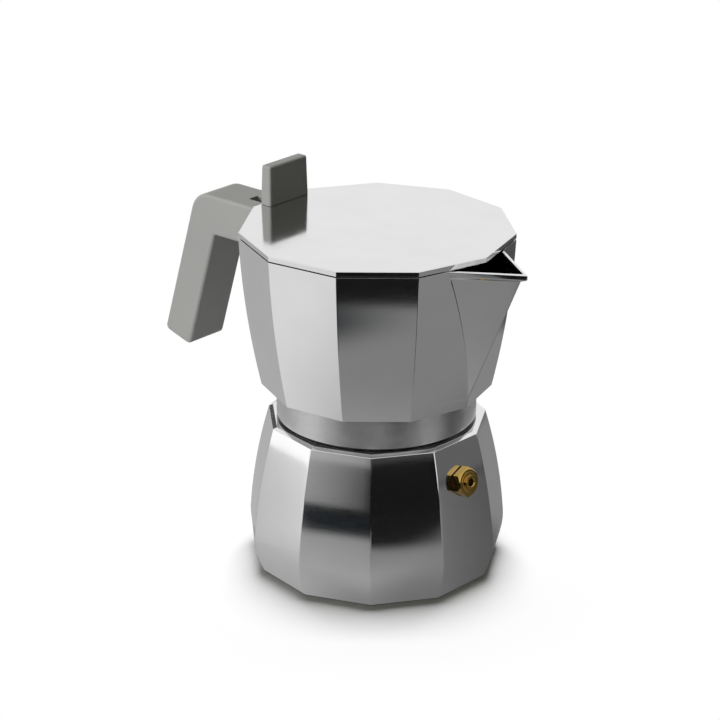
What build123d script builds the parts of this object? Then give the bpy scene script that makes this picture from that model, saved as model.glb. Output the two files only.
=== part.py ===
from build123d import *
import os
from math import asin, cos, hypot, pi, radians, sin, sqrt, tan

# Moka pot: a stove-top coffee maker with an eleven-sided boiler and jug of cast aluminium.
# Millimetres, +Z up. The origin is the middle of the base, on the surface that the pot stands on.
# +X points to the spout, the handle is on the -X side, and the jug is symmetrical about the XZ plane.
# A "flat" radius is the distance from the axis to the middle of one flat side.

# ---- sides shared by the boiler, the jug and the lid
sides = 11
slab_reach = 90.0

# ---- boiler
boiler_turn = -2.4
boiler_base_flat = 47.2
boiler_belly_flat = 51.3
boiler_belly_height = 17.6
boiler_shoulder_flat = 43.3
boiler_shoulder_height = 62.8
boiler_side_radius = 222.0
boiler_base_round = 1.0
shoulder_bevel_width = 1.5
shoulder_bevel_rise = 0.7
boiler_wall = 3.4
boiler_floor = 4.0
boiler_roof = 3.2
neck_core_radius = 35.9
neck_bore_radius = 32.9
neck_rise = 11.6

# ---- thread between the boiler's neck and the jug's skirt
thread_pitch = 3.2
thread_ridge = 1.35
thread_root_half = 0.8
thread_crest_half = 0.4
thread_crest_gap = 0.4
thread_flank_gap = 0.12
thread_start_rise = 2.0
neck_thread_turns = 2.4
skirt_thread_turns = 2.0

# ---- funnel and its grid
funnel_wall = 0.8
funnel_flange_radius = 35.5
funnel_flange = 1.0
funnel_neck_gap = 0.3
funnel_depth = 20.0
funnel_cone_rise = 8.0
funnel_stem_radius = 5.5
funnel_stem_gap = 3.0
grid_thickness = 0.8
grid_ledge = 1.0
grid_edge_gap = 0.1
grid_hole_radius = 0.9
grid_hole_pitch = 5.6

# ---- gasket and filter plate
gasket_inner_radius = 30.0
gasket_outer_radius = 36.6
gasket_thickness = 3.0
plate_radius = 32.0
plate_thickness = 0.8
plate_edge_gap = 0.08
plate_face_gap = 0.02
plate_hole_radius = 0.8
plate_hole_pitch = 5.2
hole_margin = 2.2

# ---- jug
skirt_gap = 1.3
skirt_wall = 3.2
seat_recess = 0.55
jug_base_flat = 45.2
jug_rim_flat = 53.35
jug_side_radius = 375.0
jug_height = 62.75
jug_wall = 2.6
jug_floor = 4.0
chamber_radius = 29.5
chamber_height = 1.0
chamber_cone_radius = 10.0
chamber_cone_rise = 5.0
boss_foot_radius = 16.0
boss_rise = 10.0

# ---- spout: a V that leans out from the front corner of the jug
spout_half_angle = 32.9
spout_keel_lean = 23.7
spout_keel_inset = 0.9
spout_wall = 2.0
spout_depth = 26.0
spout_edge_round = 0.6
spout_lip_height = 3.2
spout_lip_rise = 1.4
spout_lip_flare = 2.2
spout_lip_wall = 1.2

# ---- coffee column
column_base_radius = 8.5
column_top_radius = 6.0
column_bore_radius = 4.2
column_height = 33.0
column_spigot_radius = 5.8
column_spigot = 5.0
column_cap = 2.5
outlet_width = 3.4
outlet_height = 5.0

# ---- lid
lid_seam = 0.4
lid_thickness = 2.4
lid_edge_bevel = 0.35
rib_gap = 1.2
rib_wall = 1.8
rib_height = 1.8

# ---- hinge between the lid and the handle's arm
hinge_setback = 7.15
hinge_drop = 3.9
hinge_pin_radius = 1.5
hinge_fit = 0.05
pin_seat_fit = 0.01
ear_radius = 3.2
ear_width = 4.0
ear_side_gap = 0.4
ear_floor_gap = 0.5
ear_top_angle = 30.0
ear_heel_angle = 45.0
notch_length = 14.2
pin_blind_wall = 2.0
pin_end_inset = 0.3

# ---- handle
handle_width = 20.6
arm_drop = 0.4
arm_height = 17.1
arm_reach = 38.8
arm_trim = 17.0
grip_lean = 16.7
grip_thickness = 15.4
grip_length = 69.2
handle_corner_radius = 10.0
handle_foot_radius = 1.2
handle_jug_gap = 0.15
lug_length = 16.5
lug_width = 12.0
lug_thickness = 4.6
lug_lift = 2.7
lug_gap = 0.15
handle_screw_setback = 9.6
handle_screw_radius = 2.0
handle_screw_head_radius = 3.8
handle_screw_tip_gap = 0.6
screw_head_inset = 0.2
screw_fit = 0.02

# ---- knob
knob_base_width = 23.0
knob_top_width = 22.2
knob_base_thickness = 5.6
knob_top_thickness = 4.8
knob_height = 16.8
knob_inset = 0.3
knob_edge_round = 0.6
knob_screw_spacing = 12.0
knob_screw_radius = 1.25
knob_screw_head_radius = 2.3
knob_screw_depth = 8.0
knob_screw_pocket = 0.5

# ---- safety valve, square to the flat side that it is screwed into
valve_height = 47.3
valve_hex_flats = 11.0
valve_hex_length = 3.5
valve_hex_bevel = 0.7
valve_nozzle_radius = 2.9
valve_nozzle_length = 1.3
valve_outlet_radius = 1.5
valve_washer_radius = 5.3
valve_washer_thickness = 0.5
valve_seat_margin = 1.0
valve_seat_cut = 3.0
valve_shank_radius = 4.8
valve_shank_length = 6.0
valve_bore_radius = 3.2
valve_front_wall = 1.6
seat_ring_thickness = 1.4
seat_ring_hole_radius = 1.5
plunger_head = 1.2
plunger_bore_fit = 0.06
plunger_flute_depth = 0.5
plunger_stem_radius = 1.2
plunger_stem_length = 2.4
spring_wire_radius = 0.25
spring_coil_radius = 2.2
spring_turns = 4.5
spring_end_gap = 0.05

# ---- heights and radii that follow from the sizes above
ledge_height = boiler_shoulder_height + shoulder_bevel_rise
neck_top = ledge_height + neck_rise
gasket_bottom = neck_top + funnel_flange
gasket_seat = gasket_bottom + gasket_thickness
jug_bottom = gasket_seat - seat_recess
jug_rim = jug_bottom + jug_height
jug_floor_top = gasket_seat + jug_floor
boss_top = jug_floor_top + boss_rise
skirt_bottom = ledge_height + skirt_gap
skirt_bore_radius = neck_core_radius + thread_ridge + thread_crest_gap
skirt_radius = skirt_bore_radius + skirt_wall
lid_bottom = jug_rim + lid_seam
lid_top = lid_bottom + lid_thickness
arm_top = jug_rim - arm_drop
arm_bottom = arm_top - arm_height
hinge_x = -(jug_rim_flat + hinge_setback)
hinge_z = arm_top - hinge_drop
notch_bottom = hinge_z - ear_radius - ear_floor_gap
lug_bottom = arm_bottom + lug_lift
side_angle = 360.0 / sides


def three_point(circle, start_z, end_z, inset=0.0):
    """Three points of a side's arc between two heights, moved inwards by inset."""
    centre_r, centre_z, radius = circle
    points = []
    for z in (start_z, (start_z + end_z) / 2, end_z):
        points.append((centre_r + sqrt((radius - inset) ** 2 - (z - centre_z) ** 2), z))
    return points


def side_circle(low, low_z, high, high_z, radius):
    """Circle of the given radius through two points of a side, bulging outwards."""
    half_chord = hypot(high - low, high_z - low_z) / 2
    rise = sqrt(radius**2 - half_chord**2)
    along_r = (high - low) / (2 * half_chord)
    along_z = (high_z - low_z) / (2 * half_chord)
    return ((low + high) / 2 - rise * along_z, (low_z + high_z) / 2 + rise * along_r, radius)


def tangent_circle(circle, joint, joint_z, end, end_z):
    """Circle that runs on smoothly from a circle's joint point and ends at another point."""
    towards_r = (circle[0] - joint) / circle[2]
    towards_z = (circle[1] - joint_z) / circle[2]
    end_r = end - joint
    fall = end_z - joint_z
    radius = (end_r**2 + fall**2) / (2 * (towards_r * end_r + towards_z * fall))
    return (joint + towards_r * radius, joint_z + towards_z * radius, radius)


boiler_upper = side_circle(
    boiler_belly_flat,
    boiler_belly_height,
    boiler_shoulder_flat,
    boiler_shoulder_height,
    boiler_side_radius,
)
boiler_lower = tangent_circle(
    boiler_upper, boiler_belly_flat, boiler_belly_height, boiler_base_flat, 0.0
)


def belly_height(inset):
    """Height at which the boiler's two arcs meet once they are moved inwards by inset."""
    rise = boiler_belly_height - boiler_upper[1]
    return boiler_upper[1] + rise * (1 - inset / boiler_side_radius)


jug_side = side_circle(jug_base_flat, jug_bottom, jug_rim_flat, jug_rim, jug_side_radius)


def many_sided(outline, first_side):
    """Solid whose sides all have the same outline, with the first one at the given angle."""
    slab = extrude(outline, amount=slab_reach, both=True)
    body = Rot(0, 0, first_side) * slab
    for k in range(1, sides):
        body = body & (Rot(0, 0, first_side + k * side_angle) * slab)
    return body


def jug_prism(bottom, top, inset):
    """The jug's eleven-sided form between two heights, moved inwards by inset."""
    low, middle, high = three_point(jug_side, bottom, top, inset)
    with BuildSketch(Plane.XZ) as side:
        with BuildLine():
            ThreePointArc(low, middle, high)
            Line(high, (-slab_reach, top))
            Line((-slab_reach, top), (-slab_reach, bottom))
            Line((-slab_reach, bottom), low)
        make_face()
    return many_sided(side.sketch, side_angle / 2)


def flat_prism(flat, bottom, top):
    """An eleven-sided plate with upright sides, in line with the jug's sides."""
    plate = extrude(RegularPolygon(flat, sides, major_radius=False), amount=top - bottom)
    return Pos(0, 0, bottom) * plate


def ring(outer, inner, bottom, top):
    """A plain ring about the pot's axis."""
    height = top - bottom
    middle = Pos(0, 0, (top + bottom) / 2)
    return middle * Cylinder(outer, height) - middle * Cylinder(inner, height)


def turned(points):
    """A solid of revolution about the pot's axis from corner points (radius, height)."""
    with BuildSketch(Plane.XZ) as half:
        with BuildLine():
            Polyline(*points, close=True)
        make_face()
    return revolve(half.sketch, Axis.Z)


def screw_ridge(root_radius, outward, start_z, turns):
    """One helical thread ridge that stands outwards or inwards from a cylinder."""
    path = Helix(
        pitch=thread_pitch,
        height=thread_pitch * turns,
        radius=root_radius,
        center=(0, 0, start_z),
    )
    embed = thread_crest_gap / 2
    widening = embed * (thread_root_half - thread_crest_half) / thread_ridge
    section = Plane(origin=path @ 0, x_dir=(outward, 0, 0), z_dir=path % 0)
    with BuildSketch(section) as tooth:
        with BuildLine():
            Polyline(
                (-embed, -thread_root_half - widening),
                (thread_ridge, -thread_crest_half),
                (thread_ridge, thread_crest_half),
                (-embed, thread_root_half + widening),
                close=True,
            )
        make_face()
    return sweep(tooth.sketch, path=path, is_frenet=True)


neck_thread_z = ledge_height + thread_start_rise
flank_slope = (thread_root_half - thread_crest_half) / thread_ridge
flank_contact = 2 * thread_root_half - flank_slope * (skirt_bore_radius - neck_core_radius)
skirt_thread_z = neck_thread_z + thread_pitch - flank_contact - thread_flank_gap


def valve_frame():
    """Plane at the valve's seat on the boiler's side: its normal points out along the valve."""
    centre_r, centre_z, radius = boiler_upper
    tilt = asin((valve_height - centre_z) / radius)
    seat_r = centre_r + radius * cos(tilt)
    outwards = Plane(origin=(seat_r, 0, valve_height), x_dir=(0, 1, 0), z_dir=(cos(tilt), 0, sin(tilt)))
    return Location((0, 0, 0), (0, 0, boiler_turn)) * outwards.location


def along_valve(radius, start, end):
    """A cylinder on the valve's axis between two distances from its seat."""
    return valve_frame() * Pos(0, 0, (start + end) / 2) * Cylinder(radius, end - start)


def make_boiler():
    """Eleven barrel-shaped sides outside, round inside, with the threaded neck on top."""
    low_r = three_point(boiler_lower, boiler_base_round, boiler_belly_height)
    high_r = three_point(boiler_upper, boiler_belly_height, boiler_shoulder_height)
    round_foot = (low_r[0][0] - boiler_base_round, 0.0)
    foot_middle = (
        low_r[0][0] - boiler_base_round * (1 - cos(pi / 4)),
        boiler_base_round * (1 - sin(pi / 4)),
    )
    bevel_top = (boiler_shoulder_flat - shoulder_bevel_width, ledge_height)
    with BuildSketch(Plane.XZ) as side:
        with BuildLine():
            ThreePointArc(round_foot, foot_middle, low_r[0])
            ThreePointArc(*low_r)
            ThreePointArc(*high_r)
            Line(high_r[2], bevel_top)
            Line(bevel_top, (-slab_reach, ledge_height))
            Line((-slab_reach, ledge_height), (-slab_reach, 0))
            Line((-slab_reach, 0), round_foot)
        make_face()
    outside = many_sided(side.sketch, boiler_turn)
    neck = Pos(0, 0, (ledge_height + neck_top) / 2) * Cylinder(neck_core_radius, neck_rise)
    neck = neck + screw_ridge(neck_core_radius, 1, neck_thread_z, neck_thread_turns)

    roof_z = boiler_shoulder_height - boiler_roof
    joint_z = belly_height(boiler_wall)
    low_in = three_point(boiler_lower, boiler_floor, joint_z, boiler_wall)
    high_in = three_point(boiler_upper, joint_z, roof_z, boiler_wall)
    roof_rise = (ledge_height - roof_z) / 2
    with BuildSketch(Plane.XZ) as half:
        with BuildLine():
            Line((0, boiler_floor), low_in[0])
            ThreePointArc(*low_in)
            ThreePointArc(*high_in)
            Polyline(
                high_in[2],
                (neck_bore_radius, roof_z + roof_rise),
                (neck_bore_radius, neck_top),
                (0, neck_top),
                (0, boiler_floor),
            )
        make_face()
    inside = revolve(half.sketch, Axis.Z)
    valve_hole = along_valve(valve_shank_radius, -2 * valve_shank_length, valve_seat_cut)
    seat = along_valve(valve_washer_radius + valve_seat_margin, 0, valve_seat_cut)
    return outside + neck - inside - valve_hole - seat


def make_funnel():
    """Thin basket with a flange that sits on the neck, a cone below it and the stem tube."""
    outer = neck_bore_radius - funnel_neck_gap
    inner = outer - funnel_wall
    cup_floor = gasket_bottom - funnel_depth
    cone_bottom = cup_floor - funnel_cone_rise
    stem_in = funnel_stem_radius - funnel_wall
    stem_end = boiler_floor + funnel_stem_gap
    shell = turned(
        [
            (stem_in, stem_end),
            (funnel_stem_radius, stem_end),
            (funnel_stem_radius, cone_bottom),
            (outer, cup_floor),
            (outer, neck_top),
            (funnel_flange_radius, neck_top),
            (funnel_flange_radius, gasket_bottom),
            (inner, gasket_bottom),
            (inner, cup_floor),
            (inner - grid_ledge, cup_floor),
            (stem_in, cone_bottom),
        ]
    )
    return shell


def hole_centres(pitch, limit):
    """Centres of a triangular pattern of holes within a radius."""
    row_step = pitch * sqrt(3) / 2
    rows = int(limit / row_step)
    centres = []
    for row in range(-rows, rows + 1):
        shift = pitch / 2 if row % 2 else 0.0
        columns = int(limit / pitch) + 1
        for column in range(-columns, columns + 1):
            x = column * pitch + shift
            y = row * row_step
            if hypot(x, y) <= limit:
                centres.append((x, y))
    return centres


def perforated(radius, bottom, thickness, hole_radius, pitch, limit):
    """A flat disc with a triangular pattern of round holes."""
    with BuildSketch(Plane.XY.offset(bottom)) as disc:
        Circle(radius)
        with Locations(*hole_centres(pitch, limit)):
            Circle(hole_radius, mode=Mode.SUBTRACT)
    return extrude(disc.sketch, amount=thickness)


def make_funnel_grid():
    """Perforated floor of the basket, lying on the ledge where the cone begins."""
    radius = neck_bore_radius - funnel_neck_gap - funnel_wall - grid_edge_gap
    bottom = gasket_bottom - funnel_depth
    limit = radius - grid_edge_gap - grid_ledge - hole_margin
    return perforated(radius, bottom, grid_thickness, grid_hole_radius, grid_hole_pitch, limit)


def make_gasket():
    """Flat silicone ring between the funnel's flange and the jug."""
    return ring(gasket_outer_radius, gasket_inner_radius, gasket_bottom, gasket_seat)


def make_filter_plate():
    """Perforated plate in the jug's underside, with its rim on the gasket."""
    limit = chamber_radius - hole_margin
    return perforated(
        plate_radius, gasket_seat, plate_thickness, plate_hole_radius, plate_hole_pitch, limit
    )


def spout_prism(tip_bottom, tip_top, bottom, top, edge_round=0.0):
    """A V-shaped prism whose edge runs from one point of the keel to another."""
    spread = spout_depth * tan(radians(spout_half_angle))
    with BuildSketch(Plane.XY.offset(bottom)) as section:
        with BuildLine():
            Polyline(
                (tip_bottom, 0),
                (tip_bottom - spout_depth, spread),
                (tip_bottom - spout_depth, -spread),
                close=True,
            )
        make_face()
        if edge_round > 0:
            fillet(section.vertices().sort_by(Axis.X)[-1], edge_round)
    along = Vector(tip_top - tip_bottom, 0, top - bottom)
    return extrude(section.sketch, amount=along.length, dir=along.normalized())


def keel_x(z):
    """Distance of the spout's outer edge from the axis at a height below the lip."""
    foot = jug_base_flat / cos(pi / sides) - spout_keel_inset
    return foot + (z - jug_bottom) * tan(radians(spout_keel_lean))


def make_jug():
    """Eleven curved sides and the spout, the round skirt with its thread, and the handle's lug."""
    lip_z = jug_rim - spout_lip_height
    band_z = lip_z + spout_lip_rise
    lip_tip = keel_x(jug_rim) + spout_lip_flare
    body = jug_prism(jug_bottom, jug_rim, 0.0)
    body = body + spout_prism(keel_x(jug_bottom), keel_x(lip_z), jug_bottom, lip_z, spout_edge_round)
    body = body + spout_prism(keel_x(lip_z), lip_tip, lip_z, band_z, spout_edge_round)
    body = body + spout_prism(lip_tip, lip_tip, band_z, jug_rim, spout_edge_round)
    skirt_height = jug_floor_top - skirt_bottom
    body = body + Pos(0, 0, skirt_bottom + skirt_height / 2) * Cylinder(skirt_radius, skirt_height)
    lug_end = jug_rim_flat + lug_length
    lug = Pos(-lug_end / 2, 0, lug_bottom + lug_thickness / 2) * Box(lug_end, lug_width, lug_thickness)
    body = body + lug

    inside = jug_prism(jug_floor_top, jug_rim, jug_wall)
    boss = turned(
        [
            (0, jug_floor_top),
            (boss_foot_radius, jug_floor_top),
            (column_base_radius, boss_top),
            (0, boss_top),
        ]
    )
    inset = spout_wall / sin(radians(spout_half_angle))
    lip_inset = spout_lip_wall / sin(radians(spout_half_angle))
    inner_low = spout_prism(
        keel_x(jug_floor_top) - inset, keel_x(lip_z) - inset, jug_floor_top, lip_z
    )
    inner_lip = spout_prism(keel_x(lip_z) - inset, lip_tip - lip_inset, lip_z, jug_rim)
    body = body - (inside + inner_low + inner_lip - boss)

    plate_roof = gasket_seat + plate_thickness + plate_face_gap
    chamber_top = plate_roof + chamber_height
    underside = turned(
        [
            (0, skirt_bottom),
            (skirt_bore_radius, skirt_bottom),
            (skirt_bore_radius, gasket_seat),
            (plate_radius + plate_edge_gap, gasket_seat),
            (plate_radius + plate_edge_gap, plate_roof),
            (chamber_radius, plate_roof),
            (chamber_radius, chamber_top),
            (chamber_cone_radius, chamber_top),
            (column_bore_radius, chamber_top + chamber_cone_rise),
            (column_bore_radius, boss_top - column_spigot),
            (column_spigot_radius, boss_top - column_spigot),
            (column_spigot_radius, boss_top),
            (0, boss_top),
        ]
    )
    body = body - underside
    body = body + screw_ridge(skirt_bore_radius, -1, skirt_thread_z, skirt_thread_turns)
    screw_x = -(jug_rim_flat + handle_screw_setback)
    hole = Pos(screw_x, 0, lug_bottom + lug_thickness / 2)
    return body - hole * Cylinder(handle_screw_radius + screw_fit, lug_thickness)


def make_coffee_column():
    """Tapered riser with a spigot in the jug's boss and two outlets under its closed top."""
    top = boss_top + column_height
    column = turned(
        [
            (column_bore_radius, boss_top - column_spigot),
            (column_spigot_radius, boss_top - column_spigot),
            (column_spigot_radius, boss_top),
            (column_base_radius, boss_top),
            (column_top_radius, top - column_cap / 2),
            (column_top_radius - column_cap / 2, top),
            (0, top),
            (0, top - column_cap),
            (column_bore_radius, top - column_cap),
        ]
    )
    outlets = Pos(0, 0, top - column_cap - outlet_height / 2)
    return column - outlets * Box(2 * column_base_radius, outlet_width, outlet_height)


def make_lid():
    """Eleven-sided plate, a locating rib under it, and the hinge ear at the back."""
    plate = flat_prism(jug_rim_flat, lid_bottom, lid_top)
    plate = chamfer(plate.faces().sort_by(Axis.Z)[-1].edges(), lid_edge_bevel)
    rib_flat = jug_rim_flat - jug_wall - rib_gap
    rib = flat_prism(rib_flat, lid_bottom - rib_height, lid_bottom)
    rib = rib - flat_prism(rib_flat - rib_wall, lid_bottom - rib_height, lid_bottom)

    edge_x = -jug_rim_flat
    ear_top = lid_top - lid_edge_bevel
    top_turn = radians(ear_top_angle)
    heel_turn = radians(ear_heel_angle)
    with BuildSketch(Plane.XZ) as ear_side:
        with Locations((hinge_x, hinge_z)):
            Circle(ear_radius)
        with BuildLine():
            Polyline(
                (edge_x + lid_thickness, ear_top),
                (hinge_x - ear_radius * sin(top_turn), hinge_z + ear_radius * cos(top_turn)),
                (hinge_x, hinge_z),
                (hinge_x + ear_radius * sin(heel_turn), hinge_z - ear_radius * cos(heel_turn)),
                (edge_x - lid_seam, lid_bottom),
                (edge_x + lid_thickness, lid_bottom),
                close=True,
            )
        make_face()
        with Locations((hinge_x, hinge_z)):
            Circle(hinge_pin_radius + hinge_fit, mode=Mode.SUBTRACT)
    ear = extrude(ear_side.sketch, amount=ear_width / 2, both=True)
    lid = plate + rib + ear
    for y in (-knob_screw_spacing / 2, knob_screw_spacing / 2):
        lid = lid - knob_screw_shape(y, screw_fit, lid_thickness)
    return lid


def knob_screw_x():
    """Distance of the knob's screws from the axis: the middle of its base."""
    return -(jug_rim_flat - knob_inset - knob_base_thickness / 2)


def knob_screw_shape(y, grow, length):
    """Countersunk screw from the lid's underside upwards, larger all round by grow."""
    head = knob_screw_head_radius - knob_screw_radius
    cone = Cone(knob_screw_head_radius + grow, knob_screw_radius + grow, head)
    shank = Pos(0, 0, length / 2) * Cylinder(knob_screw_radius + grow, length)
    return Pos(knob_screw_x(), y, lid_bottom) * (Pos(0, 0, head / 2) * cone + shank)


def make_knob_screws():
    """The two countersunk screws, flush with the lid's underside."""
    length = lid_thickness + knob_screw_depth - knob_screw_pocket
    screws = [knob_screw_shape(y, 0.0, length) for y in (-knob_screw_spacing / 2, knob_screw_spacing / 2)]
    return Compound(children=[screw.solid() for screw in screws])


def make_knob():
    """Upright tab on the back edge of the lid, a little narrower at the top."""
    base = Pos(knob_screw_x(), 0, lid_top) * Rectangle(knob_base_thickness, knob_base_width)
    top_z = lid_top + knob_height
    tip = Pos(knob_screw_x(), 0, top_z) * Rectangle(knob_top_thickness, knob_top_width)
    tab = loft([base.face(), tip.face()])
    upper = [edge for edge in tab.edges() if edge.center().Z > lid_top + knob_edge_round]
    tab = fillet(upper, knob_edge_round)
    for y in (-knob_screw_spacing / 2, knob_screw_spacing / 2):
        hole = Pos(knob_screw_x(), y, lid_top + knob_screw_depth / 2)
        tab = tab - hole * Cylinder(knob_screw_radius + screw_fit, knob_screw_depth)
    return tab


def handle_screw_shape(grow, top):
    """Countersunk screw from the arm's underside up to a height, larger all round by grow."""
    head_bottom = arm_bottom + screw_head_inset
    head = handle_screw_head_radius - handle_screw_radius
    cone = Cone(handle_screw_head_radius + grow, handle_screw_radius + grow, head)
    shank_height = top - head_bottom
    shank = Pos(0, 0, shank_height / 2) * Cylinder(handle_screw_radius + grow, shank_height)
    place = Pos(-(jug_rim_flat + handle_screw_setback), 0, head_bottom)
    return place * (Pos(0, 0, head / 2) * cone + shank)


def make_handle_screw():
    """Screw through the arm's underside into the jug's lug."""
    return handle_screw_shape(0.0, lug_bottom + lug_thickness - handle_screw_tip_gap)


def make_handle():
    """Level arm and leaning grip in one bent bar, with the hinge notch, lug socket and screw hole."""
    lean = radians(grip_lean)
    outer = (-(jug_rim_flat + arm_reach), arm_top)
    foot_out = (outer[0] - grip_length * sin(lean), arm_top - grip_length * cos(lean))
    foot_in = (foot_out[0] + grip_thickness * cos(lean), foot_out[1] - grip_thickness * sin(lean))
    inner_x = outer[0] - arm_height * tan(lean) + grip_thickness / cos(lean)
    front = -(jug_rim_flat - arm_trim)
    with BuildSketch(Plane.XZ) as bar:
        with BuildLine():
            Polyline(
                (front, arm_top), outer, foot_out, foot_in, (inner_x, arm_bottom), (front, arm_bottom),
                close=True,
            )
        make_face()
    handle = extrude(bar.sketch, amount=handle_width / 2, both=True)
    corners = {outer: handle_corner_radius, foot_out: handle_foot_radius, foot_in: handle_foot_radius}
    for (x, z), radius in corners.items():
        edge = handle.edges().filter_by(Axis.Y).sort_by_distance((x, 0, z))[0]
        handle = fillet(edge, radius)
    handle = handle - jug_prism(arm_bottom - lug_thickness, jug_rim, -handle_jug_gap)

    notch_width = ear_width + 2 * ear_side_gap
    notch_height = arm_top - notch_bottom
    notch_end = -(jug_rim_flat + notch_length)
    notch_x = (notch_end + front) / 2
    notch = Pos(notch_x, 0, notch_bottom + notch_height / 2)
    handle = handle - notch * Box(front - notch_end, notch_width, notch_height)

    socket_end = -(jug_rim_flat + lug_length + lug_gap)
    socket = Pos((socket_end + front) / 2, 0, lug_bottom + lug_thickness / 2)
    handle = handle - socket * Box(front - socket_end, lug_width + 2 * lug_gap, lug_thickness + 2 * lug_gap)

    blind_end = -(handle_width / 2 - pin_blind_wall)
    bore_length = handle_width / 2 - blind_end
    bore = Pos(hinge_x, blind_end + bore_length / 2, hinge_z) * Rot(90, 0, 0)
    handle = handle - bore * Cylinder(hinge_pin_radius + pin_seat_fit, bore_length)
    handle = handle - handle_screw_shape(screw_fit, lug_bottom)
    head_pocket = Pos(-(jug_rim_flat + handle_screw_setback), 0, arm_bottom + screw_head_inset / 2)
    return handle - head_pocket * Cylinder(handle_screw_head_radius + screw_fit, screw_head_inset)


def make_hinge_pin():
    """Plain pin across the arm: blind on one side, just below the surface on the other."""
    start = -(handle_width / 2 - pin_blind_wall)
    end = handle_width / 2 - pin_end_inset
    place = Pos(hinge_x, (start + end) / 2, hinge_z) * Rot(90, 0, 0)
    return place * Cylinder(hinge_pin_radius, end - start)


def make_valve_washer():
    """Sealing ring between the valve's hexagon and the boiler."""
    washer = along_valve(valve_washer_radius, 0, valve_washer_thickness)
    return washer - along_valve(valve_shank_radius, 0, valve_washer_thickness)


def make_valve_body():
    """Hexagon with the nozzle in front of it and a hollow shank through the boiler's wall."""
    hex_back = valve_washer_thickness
    hex_front = hex_back + valve_hex_length
    corner = valve_hex_flats / 2 / cos(pi / 6)
    hexagon = extrude(RegularPolygon(corner, 6, rotation=0), amount=valve_hex_length)
    dome = Cone(corner + valve_hex_length - valve_hex_bevel, corner - valve_hex_bevel, valve_hex_length)
    head = (Pos(0, 0, hex_back) * hexagon) & (Pos(0, 0, hex_back + valve_hex_length / 2) * dome)
    body = valve_frame() * Rot(0, 0, 90) * head
    body = body + along_valve(valve_nozzle_radius, hex_front, hex_front + valve_nozzle_length)
    body = body + along_valve(valve_shank_radius, -valve_shank_length, hex_back)
    body = body - along_valve(valve_bore_radius, -valve_shank_length, hex_front - valve_front_wall)
    return body - along_valve(valve_outlet_radius, 0, hex_front + valve_nozzle_length)


def make_valve_seat_ring():
    """Ring pressed into the shank's inner end: the plunger closes its hole."""
    end = -valve_shank_length + seat_ring_thickness
    seat = along_valve(valve_bore_radius, -valve_shank_length, end)
    return seat - along_valve(seat_ring_hole_radius, -valve_shank_length, end)


def plunger_face():
    """Distance along the valve's axis to the closed face of the plunger."""
    return -valve_shank_length + seat_ring_thickness


def make_valve_plunger():
    """Fluted head that closes the seat, with a stem that guides the spring."""
    back = plunger_face()
    radius = valve_bore_radius - plunger_bore_fit
    head = along_valve(radius, back, back + plunger_head)
    flute = Box(2 * plunger_flute_depth, radius, plunger_head)
    for k in range(3):
        cutter = Rot(0, 0, 120 * k) * Pos(radius, 0, back + plunger_head / 2) * flute
        head = head - valve_frame() * cutter
    return head + along_valve(
        plunger_stem_radius, back + plunger_head, back + plunger_head + plunger_stem_length
    )


def make_valve_spring():
    """Round-wire coil between the plunger's head and the front wall of the valve."""
    start = plunger_face() + plunger_head + spring_wire_radius + spring_end_gap
    front = valve_washer_thickness + valve_hex_length - valve_front_wall
    end = front - spring_wire_radius - spring_end_gap
    path = Helix(
        pitch=(end - start) / spring_turns,
        height=end - start,
        radius=spring_coil_radius,
        center=(0, 0, start),
    )
    section = Plane(origin=path @ 0, z_dir=path % 0)
    with BuildSketch(section) as wire:
        Circle(spring_wire_radius)
    return valve_frame() * sweep(wire.sketch, path=path, is_frenet=True)


PIECES = {
    "boiler": make_boiler,
    "valve_body": make_valve_body,
    "valve_washer": make_valve_washer,
    "valve_seat_ring": make_valve_seat_ring,
    "valve_plunger": make_valve_plunger,
    "valve_spring": make_valve_spring,
    "funnel": make_funnel,
    "funnel_grid": make_funnel_grid,
    "gasket": make_gasket,
    "filter_plate": make_filter_plate,
    "jug": make_jug,
    "coffee_column": make_coffee_column,
    "handle": make_handle,
    "handle_screw": make_handle_screw,
    "hinge_pin": make_hinge_pin,
    "lid": make_lid,
    "knob": make_knob,
    "knob_screws": make_knob_screws,
}

os.makedirs("parts", exist_ok=True)
for name, make in PIECES.items():
    export_step(make(), f"parts/{name}.step")
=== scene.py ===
import math

import bmesh
import bpy
from mathutils import Matrix, Vector


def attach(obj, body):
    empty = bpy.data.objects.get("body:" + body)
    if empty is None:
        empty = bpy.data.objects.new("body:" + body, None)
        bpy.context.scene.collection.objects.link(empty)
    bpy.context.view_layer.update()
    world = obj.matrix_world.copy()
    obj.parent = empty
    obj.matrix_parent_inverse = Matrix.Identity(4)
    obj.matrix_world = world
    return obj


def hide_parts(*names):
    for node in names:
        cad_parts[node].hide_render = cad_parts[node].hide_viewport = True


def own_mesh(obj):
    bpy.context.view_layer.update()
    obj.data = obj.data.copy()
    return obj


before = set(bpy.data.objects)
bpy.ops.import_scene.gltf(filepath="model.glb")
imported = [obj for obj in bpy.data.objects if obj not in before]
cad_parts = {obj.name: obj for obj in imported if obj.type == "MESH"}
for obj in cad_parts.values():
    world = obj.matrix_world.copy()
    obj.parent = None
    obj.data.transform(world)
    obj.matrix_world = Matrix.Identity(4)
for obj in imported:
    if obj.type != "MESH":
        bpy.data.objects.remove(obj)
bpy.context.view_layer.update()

# ---- Boiler
# The lower half of a stove-top moka pot: a thick aluminium casting with eleven barrel-shaped sides,
# belt-polished to a satin shine. It is round inside, and a threaded round neck stands on its ledge.
# Every piece is drawn in millimetres and turned to metres when it is finished.

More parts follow.
